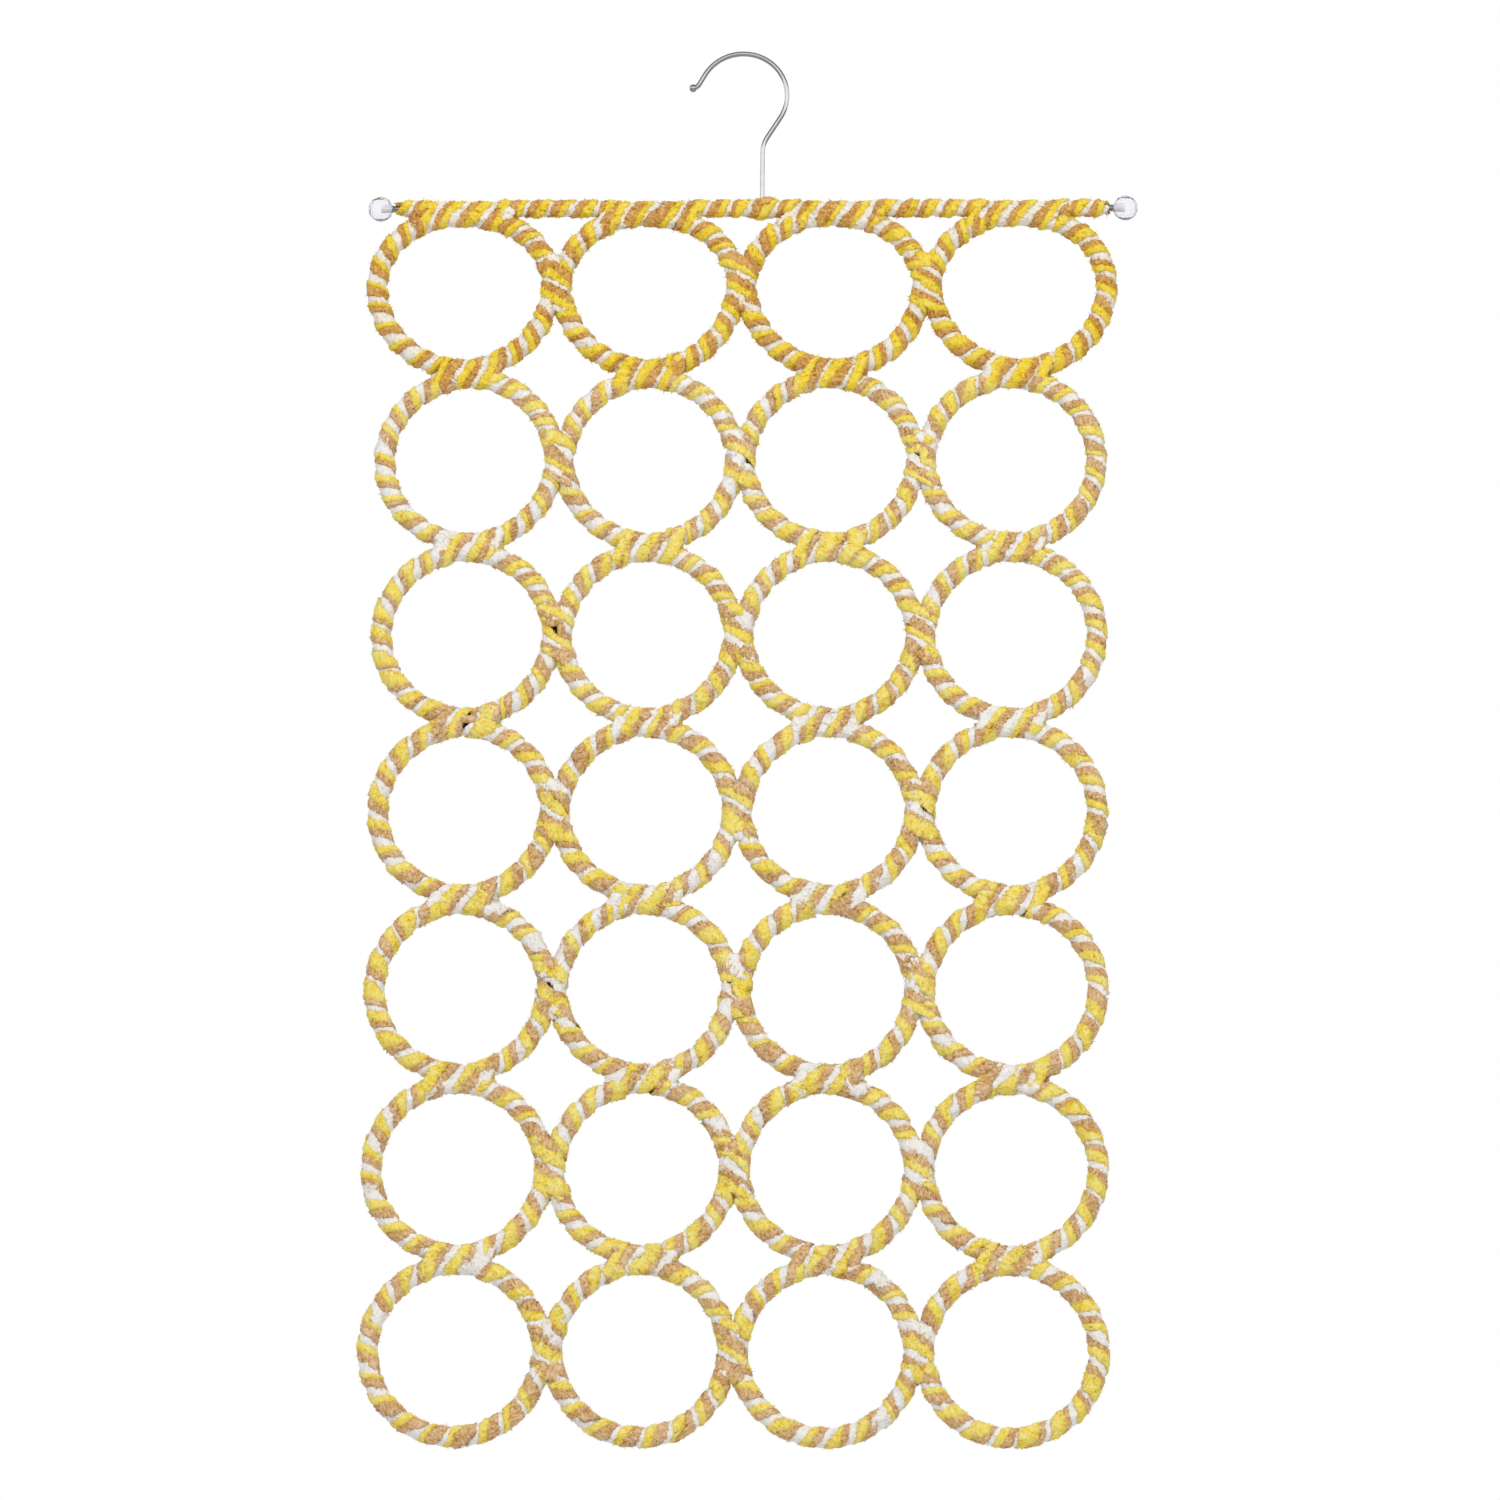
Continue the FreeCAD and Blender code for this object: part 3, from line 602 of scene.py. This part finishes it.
def noiseFrom(nodes, links, spot, scale, detail=3.0, rough=0.55):
    noise = addNode(nodes, "ShaderNodeTexNoise", Scale=scale, Detail=detail, Roughness=rough)
    links.new(spot.outputs["Object"], noise.inputs["Vector"])
    return noise


def rampFrom(nodes, links, source, stops):
    ramp = nodes.new("ShaderNodeValToRGB")
    ramp.color_ramp.elements[0].position, ramp.color_ramp.elements[0].color = stops[0]
    ramp.color_ramp.elements[1].position, ramp.color_ramp.elements[1].color = stops[-1]
    for place, colour in stops[1:-1]:
        ramp.color_ramp.elements.new(place).color = colour
    links.new(source, ramp.inputs["Fac"])
    return ramp


# painted shade: the deep tone, low in the pile and toward the core; painted light: the light tone, at the
# tips; random speckle and patches also move along these tones
yarnTones = {
    ("white", "top"): ((208, 184, 156), (249, 240, 221), (255, 251, 241)),
    ("yellow", "top"): ((186, 126, 6), (252, 216, 46), (255, 234, 106)),
    ("tan", "top"): ((108, 62, 14), (208, 148, 66), (236, 190, 118)),
    ("white", "lower"): ((220, 203, 188), (253, 248, 239), (255, 253, 250)),
    ("yellow", "lower"): ((202, 148, 18), (254, 224, 76), (255, 242, 154)),
    ("tan", "lower"): ((130, 80, 32), (212, 163, 100), (243, 210, 166)),
}
pileLook = {
    "speckle": 850.0,      # scales of the noise
    "patches": 80.0,
    "fine": 3000.0,
    "contrast": 1.8,       # weight of the speckle, the painted shade and mottle, and the patches
    "shadeAndMottle": 1.2,
    "patchTone": 0.5,
    "lightest": 1.2,       # sum of tones at the end of the ramp
    "stops": (0.12, 0.5, 0.88),
    "ragged": 1.6,         # of the edge where fibres mix
    "edge": (0.1, 0.95),   # they begin to mix here and mix most here
    "mixing": 0.22,
    "mixingWhite": 0.09,
    "bump": 0.7,
    "bumpDepth": 0.0005,
    "rough": 0.95,
    "gloss": 0.15,
    "sheen": 0.35,
    "sheenRough": 0.55,
}


# value * factor + rest
def scaled(nodes, links, value, factor, rest):
    node = addNode(nodes, "ShaderNodeMath", operation="MULTIPLY_ADD")
    node.inputs[1].default_value = factor
    links.new(value, node.inputs[0])
    if isinstance(rest, float):
        node.inputs[2].default_value = rest
    else:
        links.new(rest, node.inputs[2])
    return node.outputs[0]


# one colour going over to another; each of the three is a node's output or a plain value
def mixed(nodes, links, factor, start, end, **settings):
    mix = addNode(nodes, "ShaderNodeMix", data_type="RGBA", **settings)
    for value, entry in ((factor, mix.inputs["Factor"]), (start, mix.inputs[6]), (end, mix.inputs[7])):
        if isinstance(value, bpy.types.NodeSocket):
            links.new(value, entry)
        else:
            entry.default_value = value
    return mix.outputs[2]


def yarnMaterial(colour, place):
    deep, mid, light = (srgb(*tone) for tone in yarnTones[colour, place])
    material, nodes, links, shader = newMaterial(f"{colour}_chenille_{place}")
    spot = nodes.new("ShaderNodeTexCoord")
    shadeAndMottle = addNode(nodes, "ShaderNodeAttribute", attribute_name="shadeAndMottle")
    aside = addNode(nodes, "ShaderNodeAttribute", attribute_name="aside")
    speckle = noiseFrom(nodes, links, spot, pileLook["speckle"], 4.0, 0.7)
    patches = noiseFrom(nodes, links, spot, pileLook["patches"], 2.0)
    # painted shade and painted light of the pile, over random speckle and patches, pick the colour on the
    # ramp
    tone = scaled(nodes, links, speckle.outputs["Fac"], pileLook["contrast"], -pileLook["contrast"] / 2)
    tone = scaled(nodes, links, shadeAndMottle.outputs["Fac"], pileLook["shadeAndMottle"], tone)
    tone = scaled(nodes, links, patches.outputs["Fac"], pileLook["patchTone"], tone)
    stretch = addNode(nodes, "ShaderNodeMapRange", From_Min=0.0, From_Max=pileLook["lightest"])
    links.new(tone, stretch.inputs["Value"])
    ramp = rampFrom(nodes, links, stretch.outputs["Result"], list(zip(pileLook["stops"], (deep, mid, light))))
    colourNow = ramp.outputs["Color"]
    number = yarn["colours"].index(colour)
    for turn in (1, -1):  # fibres of the next strands show at the edges
        beside = yarn["colours"][(number + turn) % 3]
        strength = pileLook["mixingWhite" if "white" in (colour, beside) else "mixing"]
        ragged = scaled(nodes, links, speckle.outputs["Fac"], pileLook["ragged"], -pileLook["ragged"] / 2)
        edge = addNode(nodes, "ShaderNodeMapRange", interpolation_type="SMOOTHSTEP",
                       From_Min=pileLook["edge"][0], From_Max=pileLook["edge"][1], To_Max=strength)
        links.new(scaled(nodes, links, aside.outputs["Fac"], float(turn), ragged), edge.inputs["Value"])
        colourNow = mixed(nodes, links, edge.outputs["Result"], colourNow, srgb(*yarnTones[beside, place][1]))
    links.new(colourNow, shader.inputs["Base Color"])
    fine = noiseFrom(nodes, links, spot, pileLook["fine"], 3.0, 0.75)
    bump = addNode(nodes, "ShaderNodeBump", Strength=pileLook["bump"], Distance=pileLook["bumpDepth"])
    links.new(fine.outputs["Fac"], bump.inputs["Height"])
    links.new(bump.outputs["Normal"], shader.inputs["Normal"])
    shader.inputs["Roughness"].default_value = pileLook["rough"]
    shader.inputs["Specular IOR Level"].default_value = pileLook["gloss"]
    shader.inputs["Sheen Weight"].default_value = pileLook["sheen"]
    shader.inputs["Sheen Roughness"].default_value = pileLook["sheenRough"]
    shader.inputs["Sheen Tint"].default_value = light
    return material


# metals and plastics: a base colour broken up a little by noise, and a fine bump
finishes = {
    "hookChrome": {"dark": (232, 233, 236), "light": (248, 249, 250), "metal": 1.0,
                   "rough": (0.06, 0.16), "scale": 260.0, "bump": 0.03},
    "barSteel": {"dark": (186, 187, 192), "light": (220, 221, 226), "metal": 1.0,
                 "rough": (0.18, 0.30), "scale": 420.0, "bump": 0.08},
    "ringPlastic": {"dark": (30, 30, 32), "light": (46, 46, 49), "metal": 0.0,
                    "rough": (0.45, 0.62), "scale": 320.0, "bump": 0.10},
    "frostedAcrylic": {"dark": (226, 226, 232), "light": (246, 246, 250), "metal": 0.0,
                       "rough": (0.55, 0.75), "scale": 900.0, "bump": 0.10},
}
grain = {"stops": (0.3, 0.7), "finer": 9, "depth": 0.0001}  # the bump is this much finer than the colour


def plainFinish(name):
    look = finishes[name]
    material, nodes, links, shader = newMaterial(name)
    spot = nodes.new("ShaderNodeTexCoord")
    noise = noiseFrom(nodes, links, spot, look["scale"])
    tones = (srgb(*look["dark"]), srgb(*look["light"]))
    ramp = rampFrom(nodes, links, noise.outputs["Fac"], list(zip(grain["stops"], tones)))
    links.new(ramp.outputs["Color"], shader.inputs["Base Color"])
    rough = addNode(nodes, "ShaderNodeMapRange", To_Min=look["rough"][0], To_Max=look["rough"][1])
    links.new(noise.outputs["Fac"], rough.inputs["Value"])
    links.new(rough.outputs["Result"], shader.inputs["Roughness"])
    fine = noiseFrom(nodes, links, spot, look["scale"] * grain["finer"])
    bump = addNode(nodes, "ShaderNodeBump", Strength=look["bump"], Distance=grain["depth"])
    links.new(fine.outputs["Fac"], bump.inputs["Height"])
    links.new(bump.outputs["Normal"], shader.inputs["Normal"])
    shader.inputs["Metallic"].default_value = look["metal"]
    return material


# clear acrylic with a breath of haze
acrylicLook = {"colour": (250, 250, 253), "haze": 240.0, "rough": 0.05, "bending": 1.49}


def acrylicFinish():
    material, nodes, links, shader = newMaterial("clearAcrylic")
    spot = nodes.new("ShaderNodeTexCoord")
    haze = noiseFrom(nodes, links, spot, acrylicLook["haze"])
    rough = addNode(nodes, "ShaderNodeMapRange", To_Min=0.0, To_Max=acrylicLook["rough"])
    links.new(haze.outputs["Fac"], rough.inputs["Value"])
    links.new(rough.outputs["Result"], shader.inputs["Roughness"])
    shader.inputs["Base Color"].default_value = srgb(*acrylicLook["colour"])
    shader.inputs["Transmission Weight"].default_value = 1.0
    shader.inputs["IOR"].default_value = acrylicLook["bending"]
    return material


chrome, steel, plastic, frosted = (plainFinish(name) for name in finishes)
acrylic = acrylicFinish()
yarnLooks = {key: yarnMaterial(*key) for key in yarnTones}


def wear(obj, material):
    obj.data.materials.clear()
    obj.data.materials.append(material)


for name, node in frame["nodes"].items():
    if name.startswith("ring_row"):
        wear(node, plastic)
    elif name in ("hook", "hook_tip_ball"):
        wear(node, chrome)
    elif name in ("bar_core", "swivel_washer") or "ferrule" in name:
        wear(node, steel)
    elif "ball" in name:
        wear(node, acrylic)
    else:
        colour = name.split("_")[-2]
        wear(node, yarnLooks[colour, "top" if name.startswith(("bar", "row_1")) else "lower"])
print("materials made")


def dressYarn(name, strands, colour, place, node, draw):
    obj = yarnMesh(name, strands, draw)
    wear(obj, yarnLooks[colour, place])
    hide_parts(node)
    return obj


for number, colour in enumerate(yarn["colours"]):
    draw = np.random.default_rng(100 + number)
    wound = dressYarn(f"bar_{colour}_winding", barStrands((0, number), draw), colour, "top",
                      f"bar_{colour}_yarn", draw)
    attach(wound, "bar")
    for row in range(1, rows + 1):
        body = "bar" if row == 1 else f"row_{row}"
        place = placeOf(row)
        strand = (row, number)
        draw = np.random.default_rng(1000 * row + number)
        node = f"row_{row}_{colour}_yarn"
        wound = dressYarn(f"row_{row}_{colour}_winding", ringStrands(row, strand, draw),
                          colour, place, node, draw)
        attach(wound, body)
        if row < rows:
            loops = dressYarn(f"row_{row}_{colour}_lashing", rowLashStrands(row, strand, draw),
                              colour, place, node, draw)
            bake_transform(loops)
print("yarn wound")

# clear ball ends, cut in flat facets; angles in degrees from the outer pole
ball = {"facets": 14, "full": (30, 150), "bands": (14, 33, 52, 71, 90, 109, 128, 147), "neck": 162, "flat": 2}


def facetedBall(side):
    low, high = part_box(f"{side}_finial_ball")
    centre, radius = (low + high) / 2, (high.z - low.z) / 2
    outward = -1 if side == "left" else 1
    centre.x = (low.x + radius) if side == "left" else (high.x - radius)
    shape = bmesh.new()
    fullFrom, fullTo = ball["full"]  # half as many facets near the poles
    for polar in (*ball["bands"], ball["neck"]):
        tilt = math.radians(polar)
        count = ball["facets"] if fullFrom < polar < fullTo else ball["facets"] // 2
        for step in range(count):
            turn = 2 * math.pi * step / count
            ray = Vector((outward * math.cos(tilt), math.sin(tilt) * math.cos(turn),
                          math.sin(tilt) * math.sin(turn)))
            shape.verts.new(centre + radius * ray)
    bmesh.ops.convex_hull(shape, input=shape.verts)
    bmesh.ops.dissolve_limit(shape, angle_limit=math.radians(ball["flat"]),
                             verts=shape.verts, edges=shape.edges)
    bmesh.ops.recalc_face_normals(shape, faces=shape.faces)
    name = f"{side}_faceted_ball"
    mesh = bpy.data.meshes.new(name)
    shape.to_mesh(mesh)
    shape.free()
    obj = bpy.data.objects.new(name, mesh)
    scene.collection.objects.link(obj)
    wear(obj, acrylic)
    obj.visible_shadow = False  # clear, so the lamps reach the spigot
    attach(obj, "bar")
    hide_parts(f"{side}_finial_ball")


sharpEdge = 40  # degrees


# a closed profile of (place along x, radius) turned round the bar's axis
def turnedPiece(name, profile, axis, around):
    verts, faces, count = [], [], len(profile)
    for step in range(around):
        turn = 2 * math.pi * step / around
        verts += [(along, reach * math.cos(turn), axis + reach * math.sin(turn))
                  for along, reach in profile]
        nextStep = (step + 1) % around
        for spot in range(count):
            after = (spot + 1) % count
            faces.append((step * count + spot, step * count + after,
                          nextStep * count + after, nextStep * count + spot))
    mesh = bpy.data.meshes.new(name)
    mesh.from_pydata(verts, [], faces)
    mesh.polygons.foreach_set("use_smooth", np.ones(len(mesh.polygons), bool))
    mesh.set_sharp_from_angle(angle=math.radians(sharpEdge))
    mesh.update()
    obj = bpy.data.objects.new(name, mesh)
    scene.collection.objects.link(obj)
    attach(obj, "bar")
    return obj


# ribbed metal necks behind the balls
neck = {
    "ribs": 3,
    "rib": ((0.04, 1.0), (0.18, 0.25), (0.35, 0.0), (0.65, 0.0), (0.82, 0.25), (0.96, 1.0)),  # place, depth
    "groove": 0.00035,
    "around": 48,
    "hole": 0.0011,
}


def ribbedNeck(side):
    low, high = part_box(f"{side}_finial_ferrule")
    outer = (high.z - low.z) / 2
    profile = [(low.x, neck["hole"])]
    ribs, length = neck["ribs"], high.x - low.x
    for rib in range(ribs):
        start = low.x + length * rib / ribs
        for share, drop in neck["rib"]:
            profile.append((start + length / ribs * share, outer - neck["groove"] * drop))
    profile.append((high.x, neck["hole"]))
    obj = turnedPiece(f"{side}_ribbed_neck", profile, (low.z + high.z) / 2, neck["around"])
    wear(obj, steel)
    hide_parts(f"{side}_finial_ferrule")


# frosted wall of the hole drilled in each ball, round the bar's spigot
socket = {
    "inner": 0.00114,
    "outer": 0.00128,
    "past": 0.0004,    # past the spigot's tip
    "floor": 0.0002,
    "vent": 0.00006,
    "around": 40,
}


def drilledSocket(side):
    low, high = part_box("bar_core")
    near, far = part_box(f"{side}_finial_ball")
    outward = -1 if side == "left" else 1
    tip, mouth = (low.x, far.x) if side == "left" else (high.x, near.x)
    end = tip + outward * socket["past"]
    floor = end - outward * socket["floor"]
    profile = [(mouth, socket["inner"]), (mouth, socket["outer"]), (end, socket["outer"]),
               (end, socket["vent"]), (floor, socket["vent"]), (floor, socket["inner"])]
    if outward > 0:
        profile.reverse()
    obj = turnedPiece(f"{side}_drilled_socket", profile, (near.z + far.z) / 2, socket["around"])
    wear(obj, frosted)


for side in ("left", "right"):
    facetedBall(side)
    drilledSocket(side)
    ribbedNeck(side)
print("ball ends cut")

# studio: white all round; mirrors and clear parts also see a dark ring, floor and ceiling
studio = {
    "floor": -1.7,
    "floorSize": 40,
    "floorNoise": 3.0,
    "floorTones": ((244, 244, 244), (250, 250, 250)),
    "floorRough": 0.9,
    "floorGlow": 0.40,
    "sky": (0.57, 0.57, 0.5814, 1),
    "white": (1, 1, 1, 1),
}
# what mirrors see by depth and by height, and what shows through clear parts by depth
roomTones = {
    "depth": [(0.03, (0.24, 0.24, 0.25, 1)), (0.45, (0.93, 0.93, 0.94, 1))],
    "height": [(0.0, (0.34, 0.34, 0.36, 1)), (0.08, (0.95, 0.95, 0.96, 1)),
               (0.42, (1, 1, 1, 1)), (0.58, (0.24, 0.24, 0.25, 1))],
    "through": [(0.0, (0.05, 0.05, 0.06, 1)), (0.30, (0.42, 0.42, 0.46, 1)),
                (0.55, (0.88, 0.88, 0.92, 1)), (0.95, (1, 0.99, 1, 1))],
}
lamps = {
    "keyLamp": {"place": (-0.9, -2.0, 1.2), "aim": (0, 0, -0.32), "size": (1.4, 1.4), "power": 27.5},
    "fillLamp": {"place": (1.6, -1.6, 0.2), "aim": (0, 0, -0.34), "size": (1.2, 1.8), "power": 12.0},
    "backLamp": {"place": (0.3, 2.0, 0.9), "aim": (0, 0, -0.3), "size": (1.6, 1.2), "power": 15.0},
}


def makeFloor():
    bpy.ops.mesh.primitive_plane_add(size=studio["floorSize"], location=(0, 0, studio["floor"]))
    floor = bpy.context.object
    floor.name = "studio_floor"
    material, nodes, links, shader = newMaterial("paleFloor")
    spot = nodes.new("ShaderNodeTexCoord")
    noise = noiseFrom(nodes, links, spot, studio["floorNoise"])
    tones = (srgb(*tone) for tone in studio["floorTones"])
    ramp = rampFrom(nodes, links, noise.outputs["Fac"], list(zip(grain["stops"], tones)))
    links.new(ramp.outputs["Color"], shader.inputs["Base Color"])
    shader.inputs["Roughness"].default_value = studio["floorRough"]
    path = nodes.new("ShaderNodeLightPath")  # the camera sees the floor nearly white
    glow = scaled(nodes, links, path.outputs["Is Camera Ray"], studio["floorGlow"], 0.0)
    links.new(glow, shader.inputs["Emission Strength"])
    shader.inputs["Emission Color"].default_value = studio["white"]
    wear(floor, material)
    floor.visible_glossy = False
    floor.visible_transmission = False


def areaLamp(name):
    lamp = lamps[name]
    data = bpy.data.lights.new(name, "AREA")
    data.shape = "RECTANGLE"
    data.size, data.size_y = lamp["size"]
    data.energy = lamp["power"]
    obj = bpy.data.objects.new(name, data)
    obj.location = lamp["place"]
    obj.rotation_euler = (Vector(lamp["aim"]) - Vector(lamp["place"])).to_track_quat("-Z", "Y").to_euler()
    obj.visible_glossy = False
    obj.visible_transmission = False
    scene.collection.objects.link(obj)


def makeWorld():
    world = bpy.data.worlds.new("studioWorld")
    world.use_nodes = True
    scene.world = world
    nodes, links = world.node_tree.nodes, world.node_tree.links
    shade = nodes["Background"]
    path = nodes.new("ShaderNodeLightPath")
    spot = nodes.new("ShaderNodeTexCoord")
    split = nodes.new("ShaderNodeSeparateXYZ")
    links.new(spot.outputs["Generated"], split.inputs["Vector"])
    depth = addNode(nodes, "ShaderNodeMath", operation="ABSOLUTE")
    links.new(split.outputs["Y"], depth.inputs[0])
    ring = rampFrom(nodes, links, depth.outputs[0], roomTones["depth"])
    heights = rampFrom(nodes, links, split.outputs["Z"], roomTones["height"])
    through = rampFrom(nodes, links, depth.outputs[0], roomTones["through"])
    shine = mixed(nodes, links, 1.0, ring.outputs["Color"], heights.outputs["Color"], blend_type="MULTIPLY")
    bent = mixed(nodes, links, path.outputs["Is Transmission Ray"], shine, through.outputs["Color"])
    mirrored = addNode(nodes, "ShaderNodeMath", operation="MAXIMUM")
    links.new(path.outputs["Is Glossy Ray"], mirrored.inputs[0])
    links.new(path.outputs["Is Transmission Ray"], mirrored.inputs[1])
    seen = mixed(nodes, links, mirrored.outputs[0], studio["sky"], bent)
    straight = mixed(nodes, links, path.outputs["Is Camera Ray"], seen, studio["white"])
    links.new(straight, shade.inputs["Color"])


makeFloor()
makeWorld()
for name in lamps:
    areaLamp(name)

# camera, a little below the middle and looking up, as the photograph was taken
view = {"around": 1.75, "above": -14.52, "away": 4.033, "roll": 0.45, "frame": 8556.4,
        "aim": (0.0058, 0.0, -0.3450), "pixels": 1500, "sensor": 36}


def makeCamera():
    turn, tilt = math.radians(view["around"]), math.radians(view["above"])
    toward = Vector((math.sin(turn) * math.cos(tilt), -math.cos(turn) * math.cos(tilt), math.sin(tilt)))
    data = bpy.data.cameras.new("photoCamera")
    data.sensor_width = view["sensor"]
    data.lens = view["frame"] / view["pixels"] * data.sensor_width
    camera = bpy.data.objects.new("photoCamera", data)
    camera.location = Vector(view["aim"]) + toward * view["away"]
    facing = (-toward).to_track_quat("-Z", "Y")
    roll = Matrix.Rotation(math.radians(view["roll"]), 4, "Z")
    camera.rotation_euler = (facing.to_matrix().to_4x4() @ roll).to_euler()
    scene.collection.objects.link(camera)
    scene.camera = camera


makeCamera()
scene.view_settings.view_transform = "Standard"
print("studio set")
